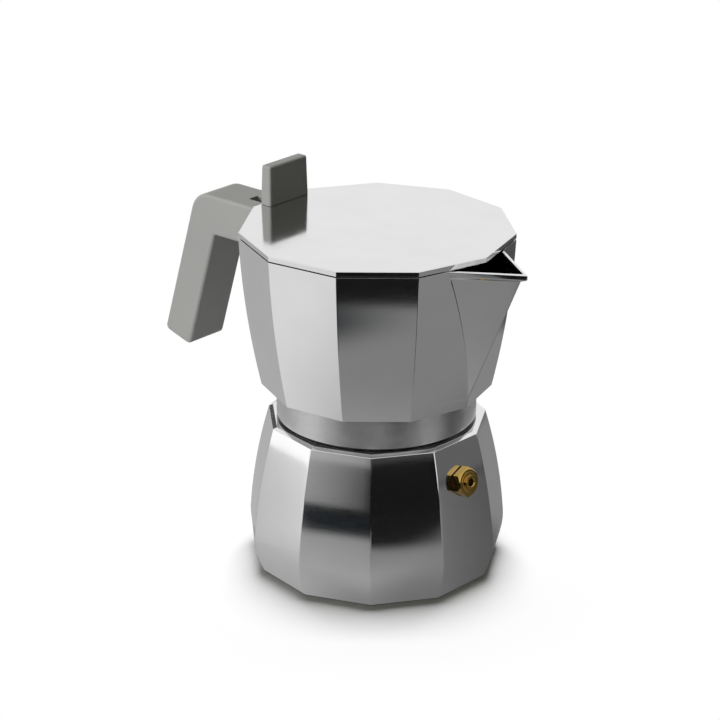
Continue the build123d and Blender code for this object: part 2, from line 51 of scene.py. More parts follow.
MM = 0.001
SIDES = 11
SPLITS = 8
SIDE_TURN = 2 * math.pi / SIDES
BOILER_TURN = math.radians(-2.4)
boiler_base_flat = 47.2
boiler_belly_flat = 51.3
boiler_belly_z = 17.6
boiler_shoulder_flat = 43.3
boiler_shoulder_z = 62.8
boiler_side_radius = 222.0
boiler_foot_round = 1.0
ledge_flat = 41.6
ledge_z = 63.6
ledge_strip = 1.2
boiler_wall = 3.4
boiler_floor = 4.0
boiler_roof_z = 59.6
boiler_roof_slope = 1.95
floor_middle = 10.0
neck_radius = 35.9
neck_bore = 32.9
neck_top = 75.1
neck_strip = 1.0
facet_edge = 0.4
casting_edge = 0.25
shoulder_edge = 0.14


def side_circle(low, low_z, high, high_z, radius):
    """Circle of a given radius through two points of a side's outline, bulging outwards."""
    half_chord = math.hypot(high - low, high_z - low_z) / 2
    rise = math.sqrt(radius**2 - half_chord**2)
    along_r = (high - low) / (2 * half_chord)
    along_z = (high_z - low_z) / (2 * half_chord)
    return ((low + high) / 2 - rise * along_z, (low_z + high_z) / 2 + rise * along_r, radius)


def tangent_circle(circle, joint, joint_z, end, end_z):
    """Circle that carries on smoothly from a circle's joint and ends at another point."""
    towards_r = (circle[0] - joint) / circle[2]
    towards_z = (circle[1] - joint_z) / circle[2]
    end_r = end - joint
    fall = end_z - joint_z
    radius = (end_r**2 + fall**2) / (2 * (towards_r * end_r + towards_z * fall))
    return (joint + towards_r * radius, joint_z + towards_z * radius, radius)


def side_at(circle, z, inset=0.0):
    """Distance from the axis to the middle of a side at a height, moved inwards by inset."""
    return circle[0] + math.sqrt((circle[2] - inset) ** 2 - (z - circle[1]) ** 2)


def side_rings(form, circle, low_z, high_z, steps, inset=0.0):
    """Rings up or down a curved side, each (form, distance from the axis, height)."""
    heights = [low_z + (high_z - low_z) * step / steps for step in range(steps + 1)]
    return [(form, side_at(circle, z, inset), z) for z in heights]


def soften(rings, reach, steps=3):
    """Rounds the sharp turns of a list of rings, as the polishing belt does."""
    softened = [rings[0]]
    for before, here, after in zip(rings, rings[1:], rings[2:]):
        back = Vector((before[1] - here[1], before[2] - here[2]))
        ahead = Vector((after[1] - here[1], after[2] - here[2]))
        if math.pi - back.angle(ahead) < math.radians(15):
            softened.append(here)
            continue
        corner = Vector((here[1], here[2]))
        start = corner + back.normalized() * min(reach, back.length * 0.45)
        end = corner + ahead.normalized() * min(reach, ahead.length * 0.45)
        for step in range(steps + 1):
            share = step / steps
            point = start * (1 - share) ** 2 + corner * 2 * share * (1 - share) + end * share**2
            softened.append((here[0], point.x, point.y))
    softened.append(rings[-1])
    return softened


def open_new(name):
    """Names the primitive just added and opens its mesh with everything selected."""
    piece = bpy.context.active_object
    piece.name = name
    piece.data.name = name
    bpy.ops.object.mode_set(mode="EDIT")
    bpy.ops.mesh.select_mode(type="VERT")
    bpy.ops.mesh.select_all(action="SELECT")
    return piece


def open_mesh():
    """Opens the active piece's mesh with everything selected."""
    bpy.ops.object.mode_set(mode="EDIT")
    bpy.ops.mesh.select_all(action="SELECT")


def leave_mesh():
    """Leaves the open mesh."""
    bpy.ops.object.mode_set(mode="OBJECT")


def add_face():
    """Closes the selected ring of the open mesh with a face."""
    bpy.ops.mesh.edge_face_add()


def bevel(offset, segments):
    """Rounds the selected edges of the open mesh."""
    bpy.ops.mesh.bevel(offset=offset, segments=segments, affect="EDGES")


def pick(piece):
    """Makes a piece the only one that is selected."""
    bpy.ops.object.select_all(action="DESELECT")
    piece.select_set(True)
    bpy.context.view_layer.objects.active = piece


def settle():
    """Applies the selected piece's place, turn and scale to its mesh."""
    bpy.ops.object.transform_apply(location=True, rotation=True, scale=True)


def face_outwards():
    """Turns every face of the open mesh outwards and leaves edit mode."""
    bpy.ops.mesh.select_all(action="SELECT")
    bpy.ops.mesh.normals_make_consistent(inside=False)
    leave_mesh()


def start_ring(name, corners, flat, z, turn, splits=1):
    """Adds a ring of straight edges with a corner at the given turn, cut into equal splits."""
    bpy.ops.object.select_all(action="DESELECT")
    bpy.ops.mesh.primitive_circle_add(
        vertices=corners,
        radius=flat / math.cos(math.pi / corners),
        fill_type="NOTHING",
        location=(0, 0, z),
        rotation=(0, 0, turn - math.pi / 2),
    )
    settle()
    piece = open_new(name)
    if splits > 1:
        bpy.ops.mesh.subdivide(number_cuts=splits - 1)
    return piece


def choose(piece, kind, test):
    """Selects the vertices, edges or faces of the open mesh that pass a test."""
    bpy.ops.mesh.select_mode(type=kind)
    bpy.ops.mesh.select_all(action="DESELECT")
    work = bmesh.from_edit_mesh(piece.data)
    for part in {"VERT": work.verts, "EDGE": work.edges, "FACE": work.faces}[kind]:
        if test(part):
            part.select_set(True)
    work.select_flush_mode()
    bmesh.update_edit_mesh(piece.data)


def choose_rim(piece, z, least=0.0, most=1000.0):
    """Selects the open edges at a height, between two distances from the axis."""

    def on_rim(edge):
        level = all(abs(vert.co.z - z) < 0.001 for vert in edge.verts)
        reach = edge.verts[0].co.xy.length
        return edge.is_boundary and level and least < reach < most

    choose(piece, "EDGE", on_rim)


def grow_rings(piece, rings):
    """Extrudes the selected ring of edges through a list of rings. The first one is where it is now."""
    form, size, z = rings[0]
    for new_form, new_size, new_z in rings[1:]:
        bpy.ops.mesh.extrude_edges_move()
        bpy.ops.transform.translate(value=(0, 0, new_z - z))
        if new_form == "round" and form == "flat":
            bpy.ops.transform.tosphere(value=1.0, center_override=(0, 0, new_z))
            work = bmesh.from_edit_mesh(piece.data)
            size = next(vert.co.xy.length for vert in work.verts if vert.select)
        scale = new_size / size
        bpy.ops.transform.resize(value=(scale, scale, 1), center_override=(0, 0, new_z))
        form, size, z = new_form, new_size, new_z


def close_up():
    """Closes the selected ring with a face and leaves edit mode."""
    add_face()
    leave_mesh()


def choose_corners(piece, turn, least):
    """Selects the edges between neighbouring outer sides, no nearer to the axis than a flat's least."""

    def between_sides(edge):
        for vert in edge.verts:
            sides_round = (math.atan2(vert.co.y, vert.co.x) - turn) / SIDE_TURN
            near = vert.co.xy.length * math.cos(math.pi / SIDES) < least
            if near or abs(sides_round - round(sides_round)) > 0.01:
                return False
        return abs(edge.verts[0].co.z - edge.verts[1].co.z) > 0.003

    choose(piece, "EDGE", between_sides)


def move_piece(piece, step):
    """Moves a piece's mesh."""
    pick(piece)
    piece.location = step
    settle()


def combine(piece, tool, how):
    """Joins, cuts or keeps what two solids share, and takes the second one away."""
    change = piece.modifiers.new("solid", "BOOLEAN")
    change.operation = how
    change.solver = "EXACT"
    change.object = tool
    bpy.context.view_layer.objects.active = piece
    bpy.ops.object.modifier_apply(modifier=change.name)
    bpy.data.objects.remove(tool, do_unlink=True)


def cut(piece, tool):
    """Cuts one solid out of another."""
    combine(piece, tool, "DIFFERENCE")


def draw_outline(name, points):
    """Draws a closed outline point by point and fills it with one face."""
    bpy.ops.object.select_all(action="DESELECT")
    bpy.ops.mesh.primitive_plane_add(size=1)
    piece = open_new(name)
    bpy.ops.mesh.merge(type="CENTER")
    bpy.ops.transform.translate(value=points[0])
    for before, after in zip(points, points[1:]):
        step = tuple(end - start for start, end in zip(before, after))
        bpy.ops.mesh.extrude_vertices_move(TRANSFORM_OT_translate={"value": step})
    bpy.ops.mesh.select_all(action="SELECT")
    add_face()
    return piece


def wind(piece, turns, rise, steps):
    """Winds an outline up round the axis, with so many steps a turn, and closes its ends."""
    change = piece.modifiers.new("wind", "SCREW")
    change.angle = 2 * math.pi * turns
    change.screw_offset = rise
    change.steps = change.render_steps = int(steps * turns)
    bpy.ops.object.modifier_apply(modifier=change.name)
    open_mesh()
    bpy.ops.mesh.fill_holes(sides=0)
    face_outwards()


def thread_ridge(name, radius, outward, start_z, turns):
    """Draws a thread's tooth and winds it up round the axis."""
    embed = 0.2
    widening = embed * (thread_root_half - thread_crest_half) / thread_ridge_height
    root = radius - outward * embed
    crest = radius + outward * thread_ridge_height
    piece = draw_outline(
        name,
        [
            (root, 0, start_z - thread_root_half - widening),
            (crest, 0, start_z - thread_crest_half),
            (crest, 0, start_z + thread_crest_half),
            (root, 0, start_z + thread_root_half + widening),
        ],
    )
    leave_mesh()
    wind(piece, turns, thread_pitch * turns, 96)
    return piece


def finish_piece(piece, material, body, replaced, sharp=30.0, others=()):
    """Cleans the mesh, shades it, turns millimetres to metres, and ties the piece to the frame.

    others is a list of (material, test): a face takes that material where its middle and normal,
    in millimetres, pass the test.
    """
    pick(piece)
    open_mesh()
    bpy.ops.mesh.remove_doubles(threshold=0.002)
    face_outwards()
    piece.scale = (MM, MM, MM)
    settle()
    bpy.ops.object.shade_smooth_by_angle(angle=math.radians(sharp))
    weigh = piece.modifiers.new("weigh", "WEIGHTED_NORMAL")
    weigh.mode = "FACE_AREA"
    weigh.keep_sharp = True
    bpy.ops.object.modifier_apply(modifier=weigh.name)
    piece.data.materials.clear()
    piece.data.materials.append(material)
    for index, (other, test) in enumerate(others, 1):
        piece.data.materials.append(other)
        for face in piece.data.polygons:
            if test(face.center / MM, face.normal):
                face.material_index = index
    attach(piece, body)
    for node in replaced:
        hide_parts(node)


def colour(code):
    """Linear colour of an sRGB hex value."""
    parts = [int(code[start : start + 2], 16) / 255 for start in (0, 2, 4)]
    linear = [part / 12.92 if part <= 0.04045 else ((part + 0.055) / 1.055) ** 2.4 for part in parts]
    return (*linear, 1.0)


def add(tree, kind, settings=None, inputs=None):
    """Adds a node, makes its settings, and fills each input with a value or a link."""
    new = tree.nodes.new(kind)
    for name, value in (settings or {}).items():
        setattr(new, name, value)
    for name, value in (inputs or {}).items():
        if isinstance(value, bpy.types.NodeSocket):
            tree.links.new(value, new.inputs[name])
        else:
            new.inputs[name].default_value = value
    return new


def blank_material(name):
    """A new material with an empty node tree, and its output."""
    material = bpy.data.materials.new(name)
    material.use_nodes = True
    material.node_tree.nodes.clear()
    return material, material.node_tree, add(material.node_tree, "ShaderNodeOutputMaterial")


def noise(tree, size, detail, stretch=1.0, roughness=0.5):
    """Soft noise in spots of about one size in millimetres, flattened by a stretch along Z."""
    place = add(tree, "ShaderNodeTexCoord").outputs["Object"]
    flat = add(tree, "ShaderNodeMapping", inputs={"Vector": place, "Scale": (1.0, 1.0, stretch)})
    spots = add(
        tree,
        "ShaderNodeTexNoise",
        inputs={
            "Vector": flat.outputs["Vector"],
            "Scale": 1 / (size * MM),
            "Detail": detail,
            "Roughness": roughness,
        },
    )
    return spots.outputs["Fac"]


def spread(tree, value, low, high, start=0.3, end=0.7, how="LINEAR"):
    """Carries a value between start and end over to the range from low to high."""
    inputs = {"Value": value, "From Min": start, "From Max": end, "To Min": low, "To Max": high}
    return add(tree, "ShaderNodeMapRange", {"interpolation_type": how}, inputs).outputs["Result"]


def blend(tree, share, first, second):
    """A share of the way from one colour to another."""
    inputs = {"Factor": share, 6: first, 7: second}
    return add(tree, "ShaderNodeMix", {"data_type": "RGBA"}, inputs).outputs[2]


def relief(tree, value, height):
    """A bump of a height in millimetres."""
    return add(tree, "ShaderNodeBump", inputs={"Height": value, "Strength": 1.0, "Distance": height * MM})


def surface_of(name, build):
    """A material whose principled shader takes the inputs that build returns."""
    material, tree, output = blank_material(name)
    shader = add(tree, "ShaderNodeBsdfPrincipled", inputs=build(tree))
    tree.links.new(shader.outputs["BSDF"], output.inputs["Surface"])
    return material


def aluminium(name, shade, gloss, grain, wave, lines):
    """Polished aluminium: soft cloudiness, faint belt lines and a slightly wavy surface.

    gloss is the roughness, grain how much it varies, wave the height of the casting's waviness in
    millimetres, and lines the height of the belt's fine lines in millimetres.
    """

    def build(tree):
        belt = noise(tree, 9, 4.0, 14.0, 0.65)
        wavy = relief(tree, noise(tree, 34, 1.0), wave)
        lined = relief(tree, belt, lines)
        cloudy = spread(tree, noise(tree, 18, 3.0), 0.0, 1.0)
        tree.links.new(wavy.outputs["Normal"], lined.inputs["Normal"])
        return {
            "Base Color": blend(tree, cloudy, *map(colour, shade)),
            "Metallic": 1.0,
            "Roughness": spread(tree, belt, gloss - grain, gloss + grain),
            "Normal": lined.outputs["Normal"],
        }

    return surface_of(name, build)


def plain_metal(name, shade, gloss, grain, size, rise=0.01, turned_lines=0.0):
    """A plain metal finish: cloudy tone, roughness and relief at one scale, all in millimetres.

    turned_lines is how far reflections are drawn out across the fine rings that a lathe leaves.
    """

    def build(tree):
        clouds = noise(tree, size, 4.0)
        around = add(tree, "ShaderNodeTangent", {"direction_type": "RADIAL", "axis": "Z"})
        return {
            "Base Color": blend(tree, clouds, *map(colour, shade)),
            "Metallic": 1.0,
            "Roughness": spread(tree, clouds, gloss - grain, gloss + grain),
            "Normal": relief(tree, clouds, rise).outputs["Normal"],
            "Tangent": around.outputs["Tangent"],
            "Anisotropic": turned_lines,
            "Anisotropic Rotation": 0.25,
        }

    return surface_of(name, build)


thread_pitch = 3.2
thread_ridge_height = 1.35
thread_root_half = 0.8
thread_crest_half = 0.4
neck_thread_z = ledge_z + 2.0
neck_thread_turns = 2.4
valve_z = 47.3
valve_shank_radius = 4.8
valve_shank_length = 6.0

boiler_upper = side_circle(
    boiler_belly_flat, boiler_belly_z, boiler_shoulder_flat, boiler_shoulder_z, boiler_side_radius
)
boiler_lower = tangent_circle(boiler_upper, boiler_belly_flat, boiler_belly_z, boiler_base_flat, 0.0)
foot_flat = side_at(boiler_lower, boiler_foot_round)

foot = []
for step in range(5):
    turn = math.radians(90 * step / 5)
    inset = boiler_foot_round * (1 - math.sin(turn))
    foot.append(("flat", foot_flat - inset, boiler_foot_round * (1 - math.cos(turn))))
sides_up = side_rings("flat", boiler_lower, boiler_foot_round, boiler_belly_z, 8)
sides_up += side_rings("flat", boiler_upper, boiler_belly_z, boiler_shoulder_z, 24)[1:]
outside = foot + sides_up + [("flat", ledge_flat, ledge_z), ("flat", ledge_flat - ledge_strip, ledge_z)]
outside = soften(outside, shoulder_edge)

boiler = start_ring("boiler_casting", SIDES, outside[0][1], 0.0, BOILER_TURN + SIDE_TURN / 2, SPLITS)
grow_rings(boiler, outside)
choose_corners(boiler, BOILER_TURN + SIDE_TURN / 2, ledge_flat - 0.1)
bevel(facet_edge, 3)
choose_rim(boiler, ledge_z)
inside_floor = side_at(boiler_lower, boiler_floor, boiler_wall)
neck = soften(
    [
        ("flat", ledge_flat - ledge_strip, ledge_z),
        ("round", neck_radius + neck_strip, ledge_z),
        ("round", neck_radius, ledge_z),
        ("round", neck_radius, neck_top),
        ("round", neck_bore, neck_top),
        ("round", neck_bore, boiler_roof_z + boiler_roof_slope),
        ("round", side_at(boiler_upper, boiler_roof_z, boiler_wall), boiler_roof_z),
    ]
    + side_rings("round", boiler_upper, boiler_roof_z - 1, boiler_belly_z, 10, boiler_wall)
    + side_rings("round", boiler_lower, boiler_belly_z - 1, boiler_floor + 1, 5, boiler_wall)
    + [("round", inside_floor, boiler_floor), ("round", floor_middle, boiler_floor)],
    casting_edge,
)
grow_rings(boiler, neck)
add_face()
choose_rim(boiler, 0.0)
close_up()

neck_thread = thread_ridge("neck_thread", neck_radius, 1, neck_thread_z, neck_thread_turns)
combine(boiler, neck_thread, "UNION")

tilt = math.asin((valve_z - boiler_upper[1]) / boiler_side_radius)
valve_seat = (side_at(boiler_upper, valve_z), 0, valve_z)
valve_place = (
    Matrix.Rotation(BOILER_TURN, 4, "Z")
    @ Matrix.Translation(valve_seat)
    @ Matrix.Rotation(math.pi / 2 - tilt, 4, "Y")
    @ Matrix.Rotation(math.pi / 2, 4, "Z")
)


def set_on_valve(piece):
    """Moves a mesh that was drawn upright to the valve's axis, with its foot on the boiler's side."""
    pick(piece)
    piece.matrix_world = valve_place
    settle()


bpy.ops.object.select_all(action="DESELECT")
bpy.ops.mesh.primitive_cylinder_add(
    vertices=64, radius=valve_shank_radius, depth=4 * valve_shank_length
)
valve_drill = bpy.context.active_object
set_on_valve(valve_drill)
cut(boiler, valve_drill)

# Cast aluminium polished on a belt: bright, with soft-edged reflections and faint level lines.
satin_aluminium = aluminium("satin_cast_aluminium", ("dfdfdf", "e4e4e4"), 0.095, 0.015, 0.02, 0.002)
# The inside is left as it was cast and blasted: matt and slightly pebbled, in a darker grey than bare cast
# aluminium as painted shade inside the pot.
blasted_aluminium_painted_shade = plain_metal("blasted_cast_aluminium_painted_shade", ("7c7c7b", "8d8d8c"), 0.5, 0.06, 0.9, 0.03)
# Cut on a lathe: fine level rings draw every reflection out upwards and downwards.
turned_aluminium = plain_metal("lathe_turned_aluminium", ("bababa", "cccccc"), 0.34, 0.03, 4.0, 0.004, 0.85)


def faces_in(middle, normal):
    """True for a face that looks towards the axis."""
    return middle.x * normal.x + middle.y * normal.y < -0.001


def boiler_inside(middle, normal):
    """True for the cavity's wall, floor and roof."""
    level = (normal.z > 0.5 and middle.z < 10) or (normal.z < -0.5 and 50 < middle.z < ledge_z)
    return level or (faces_in(middle, normal) and 1 < middle.z < ledge_z)


finish_piece(
    boiler,
    satin_aluminium,
    "boiler",
    ["boiler"],
    others=[
        # The cavity takes the blasted finish, darkened as painted shade.
        (blasted_aluminium_painted_shade, boiler_inside),
        (turned_aluminium, lambda middle, normal: middle.z > ledge_z + 0.2),
    ],
)

# ---- Safety valve
# A turned brass body with an 11 mm hexagon, a short nozzle in front of it and a fibre washer behind.
# Inside are the pressed-in seat ring, the plunger and its spring.

hexagon_flats = 11.0
hexagon_z = 0.5
hexagon_length = 3.5
hexagon_bevel = 1.49
hexagon_face_margin = 1.15
hexagon_corner_round = 0.12
hexagon_turn = math.radians(21.0)
nozzle_radius = 2.9
nozzle_length = 1.3
nozzle_round = 0.14
shank_mouth = 4.0
collar_radius = 4.3
collar_rise = 0.25
outlet_radius = 1.5
outlet_bevel = (0.3, 0.35)
valve_bore = 3.2
valve_front_wall = 1.6


def turned(name, points, corners, reach=0.0):
    """Turns an outline of (radius, height) points round the axis; it closes on itself or at the axis."""
    outline = [("round", radius, z) for radius, z in points]
    if reach:
        outline = soften(outline, reach)
    start = outline[0]
    piece = start_ring(name, corners, start[1] * math.cos(math.pi / corners), start[2], 0.0)
    grow_rings(piece, outline)
    if points[0] == points[-1]:
        bpy.ops.mesh.select_all(action="SELECT")
        bpy.ops.mesh.remove_doubles(threshold=0.0005)
    else:
        add_face()
        choose_rim(piece, start[2], start[1] - 0.01, start[1] + 0.01)
        add_face()
    face_outwards()
    return piece


hexagon_top = hexagon_z + hexagon_length
nozzle_top = hexagon_top + nozzle_length
hexagon_corner = hexagon_flats / 2 / math.cos(math.pi / 6)
valve_body = start_ring("valve_turned_body", 6, hexagon_flats / 2, hexagon_z, hexagon_turn)
grow_rings(valve_body, [("flat", hexagon_flats / 2, hexagon_z), ("flat", hexagon_flats / 2, hexagon_top)])
add_face()
choose_rim(valve_body, hexagon_z)
add_face()
choose(valve_body, "EDGE", lambda edge: abs(edge.verts[0].co.z - edge.verts[1].co.z) > 1)
bevel(hexagon_corner_round, 2)
leave_mesh()
chamfer = turned(
    "chamfer",
    [
        (hexagon_corner + 0.5, hexagon_z - 1),
        (hexagon_corner + 0.5, hexagon_top - hexagon_bevel),
        (hexagon_corner - hexagon_face_margin, hexagon_top),
        (hexagon_corner - hexagon_face_margin - 0.15, hexagon_top + 0.02),
    ],
    128,
)
combine(valve_body, chamfer, "INTERSECT")
nozzle = turned(
    "nozzle",
    [
        (shank_mouth, -valve_shank_length),
        (valve_shank_radius, -valve_shank_length),
        (valve_shank_radius, hexagon_z + 0.5),
        (collar_radius, hexagon_z + 0.5),
        (collar_radius, hexagon_top + collar_rise),
        (nozzle_radius, hexagon_top + collar_rise),
        (nozzle_radius, nozzle_top),
        (outlet_radius + outlet_bevel[0], nozzle_top),
        (outlet_radius, nozzle_top - outlet_bevel[1]),
        (outlet_radius, hexagon_top - valve_front_wall),
        (valve_bore, hexagon_top - valve_front_wall),
        (valve_bore, -valve_shank_length),
        (shank_mouth, -valve_shank_length),
    ],
    72,
    nozzle_round,
)
bore_end = hexagon_top - valve_front_wall
bore = turned("bore", [(valve_bore, -valve_shank_length), (valve_bore, bore_end)], 72)
outlet = turned("outlet", [(outlet_radius, 0.0), (outlet_radius, nozzle_top)], 72)
cut(valve_body, bore)
cut(valve_body, outlet)
combine(valve_body, nozzle, "UNION")
set_on_valve(valve_body)


def dull_solid(name, shade, gloss, grain, size, height):
    """A non-metal surface: grain of one size in millimetres in its tone, roughness and relief."""

    def build(tree):
        grit = noise(tree, size, 3.0)
        mixed = add(
            tree,
            "ShaderNodeMath",
            {"operation": "MULTIPLY_ADD"},
            {0: grit, 1: 0.35, 2: noise(tree, 22, 2.0)},
        ).outputs["Value"]
        return {
            "Base Color": blend(tree, mixed, *map(colour, shade)),
            "Roughness": spread(tree, mixed, gloss - grain, gloss + grain, 0.4, 1.0),
            "Normal": relief(tree, grit, height).outputs["Normal"],
            "Specular IOR Level": 0.3,
        }

    return surface_of(name, build)


def dress(node, material):
    """Gives a solid that stays as it is in the frame its finish."""
    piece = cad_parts[node]
    piece.data.materials.clear()
    piece.data.materials.append(material)


# Turned brass, bright yellow where it was cut last.
turned_brass = plain_metal("turned_brass", ("ac8a3e", "c1a35e"), 0.13, 0.04, 1.6)
finish_piece(valve_body, turned_brass, "boiler", ["valve_body"], 25.0)
dress("valve_seat_ring", turned_brass)
# Dark red-brown pressed fibre.
dress("valve_washer", dull_solid("pressed_fibre", ("4a2c22", "5e382b"), 0.75, 0.08, 0.35, 0.05))
# Drawn stainless steel wire and turned plunger, bright and slightly grey.
drawn_steel = plain_metal("drawn_stainless_steel", ("a9aaab", "bcbdbd"), 0.24, 0.05, 2.2)
dress("valve_plunger", drawn_steel)

# The spring is wound wire that shortens against the front wall as the plunger leaves its seat.
spring_wire = 0.25
spring_radius = 2.2
spring_turns = 4.5
spring_back = -3.1
spring_front = 2.1

bpy.ops.object.select_all(action="DESELECT")
bpy.ops.mesh.primitive_circle_add(
    vertices=12,
    radius=spring_wire,
    location=(spring_radius, 0, spring_back),
    rotation=(math.pi / 2, 0, 0),
)
spring = bpy.context.active_object
spring.name = "valve_coil"
spring.data.name = "valve_coil"
settle()
wind(spring, spring_turns, spring_front - spring_back, 28)
set_on_valve(spring)
finish_piece(spring, drawn_steel, "boiler", ["valve_spring"], 60.0)
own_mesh(spring)

# ---- Funnel and grid
# A thin spun aluminium basket with a flange that rests on the boiler's neck, and a drilled floor.
# Both keep the frame's own solids, in the dull natural finish of spun sheet.

spun_sheet = plain_metal("spun_aluminium_sheet", ("bdbdbc", "d0d0cf"), 0.34, 0.07, 5.0)
dress("funnel", spun_sheet)
dress("funnel_grid", spun_sheet)

# ---- Gasket and filter plate
# A flat ring of milky silicone, and the drilled plate that it holds in the jug's underside. Both keep
# the frame's own solids.

dress("gasket", dull_solid("milky_silicone", ("d9d7cf", "e6e4dd"), 0.48, 0.06, 0.8, 0.02))
dress("filter_plate", spun_sheet)

# ---- Jug
# The upper casting: eleven slightly barrelled sides that widen upwards, a V spout that leans out of
# the front corner, a round skirt with the inside thread, and a lug at the back for the handle's screw.

jug_base_flat = 45.2
jug_rim_flat = 53.35
jug_base_z = 78.55
jug_rim_z = 141.3
jug_rim_edge = 0.06
jug_rim_strip = 1.0
jug_base_strip = 1.2
jug_facet_edge = 0.22
jug_side_radius = 375.0
jug_wall = 2.6
jug_floor_z = 83.1
skirt_radius = 40.85
skirt_bore = 37.65
skirt_bottom = 64.8
skirt_thread_turns = 2.0
skirt_thread_z = 67.4985
gasket_seat = 79.1
plate_recess = 32.08
plate_seat = 79.92
chamber_radius = 29.5
chamber_roof_z = 80.92
funnel_tip_z = 85.92
column_bore = 4.2
spigot_radius = 5.8
spigot_length = 5.0
boss_top = 93.1
boss_foot_radius = 16.0
boss_top_radius = 8.5
spout_half_angle = math.radians(36.0)
spout_lean = math.radians(23.7)
spout_inset = 0.5
spout_depth = 30.0
spout_straight_top = 130.0
spout_inner_round = 0.3
spout_wall = 1.9
spout_tip_round = 0.6
spout_crease = 0.5
lip_half_angle = math.radians(34.0)
lip_band_angle = math.radians(33.0)
lip_z = 138.0
lip_band_z = 139.2
lip_flare = 1.7
lip_wall = 1.3
lip_round = 0.35
lug_end = 69.85
lug_half_width = 6.0
lug_bottom = 126.5
lug_top = 131.1
handle_screw_x = -62.95
handle_screw_radius = 2.0
screw_fit = 0.02

jug_side = side_circle(jug_base_flat, jug_base_z, jug_rim_flat, jug_rim_z, jug_side_radius)


def keel(z):
    """Distance of the spout's edge from the axis at a height below the lip."""
    foot = jug_base_flat / math.cos(math.pi / SIDES) - spout_inset
    return foot + (z - jug_base_z) * math.tan(spout_lean)


def wedge(name, levels, tip_round):
    """A V-shaped solid through levels of (its tip's distance from the axis, height, half angle)."""
    tip, z, half_angle = levels[0]
    half_width = spout_depth * math.tan(half_angle)
    centre = tip - tip_round / math.sin(half_angle)
    outline = []
    for step in range(7):
        angle = (math.pi / 2 - half_angle) * (step / 3 - 1)
        outline.append((centre + tip_round * math.cos(angle), tip_round * math.sin(angle), z))
    outline += [(tip - spout_depth, half_width, z), (tip - spout_depth, -half_width, z)]
    piece = draw_outline(name, outline)
    for start, end in zip(levels, levels[1:]):
        step = (end[0] - start[0], 0, end[1] - start[1])
        bpy.ops.mesh.extrude_region_move(TRANSFORM_OT_translate={"value": step})
        widening = math.tan(end[2]) / math.tan(start[2])
        bpy.ops.transform.resize(value=(1, widening, 1), center_override=(0, 0, end[1]))
    return piece


def block(name, low, high):
    """A box between two corners."""
    bpy.ops.object.select_all(action="DESELECT")
    middle = [(start + end) / 2 for start, end in zip(low, high)]
    size = [end - start for start, end in zip(low, high)]
    bpy.ops.mesh.primitive_cube_add(size=1, location=middle, scale=size)
    piece = bpy.context.active_object
    piece.name = name
    settle()
    return piece


jug_profile = [("flat", jug_rim_flat - jug_rim_strip, jug_rim_z)]
jug_profile += side_rings("flat", jug_side, jug_rim_z, jug_base_z, 24)
jug_profile += [("flat", jug_base_flat - jug_base_strip, jug_base_z)]
jug_profile = soften(jug_profile, jug_rim_edge)
jug = start_ring("jug_casting", SIDES, jug_profile[0][1], jug_rim_z, 0.0)
grow_rings(jug, jug_profile)
choose_corners(jug, 0.0, jug_base_flat - 0.2)
bevel(jug_facet_edge, 3)
choose_rim(jug, jug_base_z)
bpy.ops.mesh.subdivide(number_cuts=SPLITS - 1)
choose_rim(jug, jug_base_z)
grow_rings(
    jug,
    soften(
        [
            ("flat", jug_base_flat - jug_base_strip, jug_base_z),
            ("round", skirt_radius, jug_base_z),
            ("round", skirt_radius, skirt_bottom),
            ("round", skirt_bore, skirt_bottom),
            ("round", skirt_bore, gasket_seat),
            ("round", plate_recess, gasket_seat),
            ("round", plate_recess, plate_seat),
            ("round", chamber_radius, plate_seat),
            ("round", chamber_radius, chamber_roof_z),
            ("round", floor_middle, chamber_roof_z),
            ("round", column_bore, funnel_tip_z),
            ("round", column_bore, boss_top - spigot_length),
            ("round", spigot_radius, boss_top - spigot_length),
            ("round", spigot_radius, boss_top + 0.5),
        ],
        casting_edge,
    ),
)
add_face()
choose_rim(jug, jug_rim_z)
close_up()
lug = block("lug", (-lug_end, -lug_half_width, lug_bottom), (-51, lug_half_width, lug_top))
combine(jug, lug, "UNION")

lip_tip = keel(jug_rim_z) + lip_flare
spout = wedge(
    "spout",
    [
        (keel(jug_base_z), jug_base_z, spout_half_angle),
        (keel(lip_z), lip_z, spout_half_angle),
        (lip_tip, lip_band_z, lip_band_angle),
        (lip_tip, jug_rim_z, lip_half_angle),
    ],
    spout_tip_round,
)
choose(
    spout,
    "EDGE",
    lambda edge: all(vert.co.z > lip_z - 0.5 for vert in edge.verts)
    and abs(edge.verts[0].co.z - edge.verts[1].co.z) < 0.01
    and any(vert.co.x > lip_tip - spout_depth + 5 for vert in edge.verts),
)
bevel(lip_round, 3)
face_outwards()
combine(jug, spout, "UNION")
pick(jug)
open_mesh()


def in_crease(edge):
    """True for an edge where one of the spout's two faces meets one of the jug's sides."""
    if len(edge.link_faces) != 2 or max(vert.co.z for vert in edge.verts) > lip_z - 0.2:
        return False
    turns = sorted(abs(math.atan2(face.normal.y, face.normal.x)) for face in edge.link_faces)
    off_face = abs(turns[1] - math.pi / 2 + spout_half_angle)
    return turns[0] < math.radians(25) and off_face < math.radians(8)


choose(jug, "EDGE", in_crease)
bevel(spout_crease, 3)


def on_lip(face):
    """True for a face of the lip's outer band and its roundings."""
    middle = face.calc_center_median()
    outer = middle.x * face.normal.x + middle.y * face.normal.y > 0
    return outer and middle.z > lip_z - 0.6 and middle.x > 50


# Cuts across the lip's long faces keep their shading flat.
for step in range(1, 10):
    choose(jug, "FACE", on_lip)
    bpy.ops.mesh.bisect(plane_co=(50 + 2.6 * step, 0, 0), plane_no=(1, 0, 0))
leave_mesh()

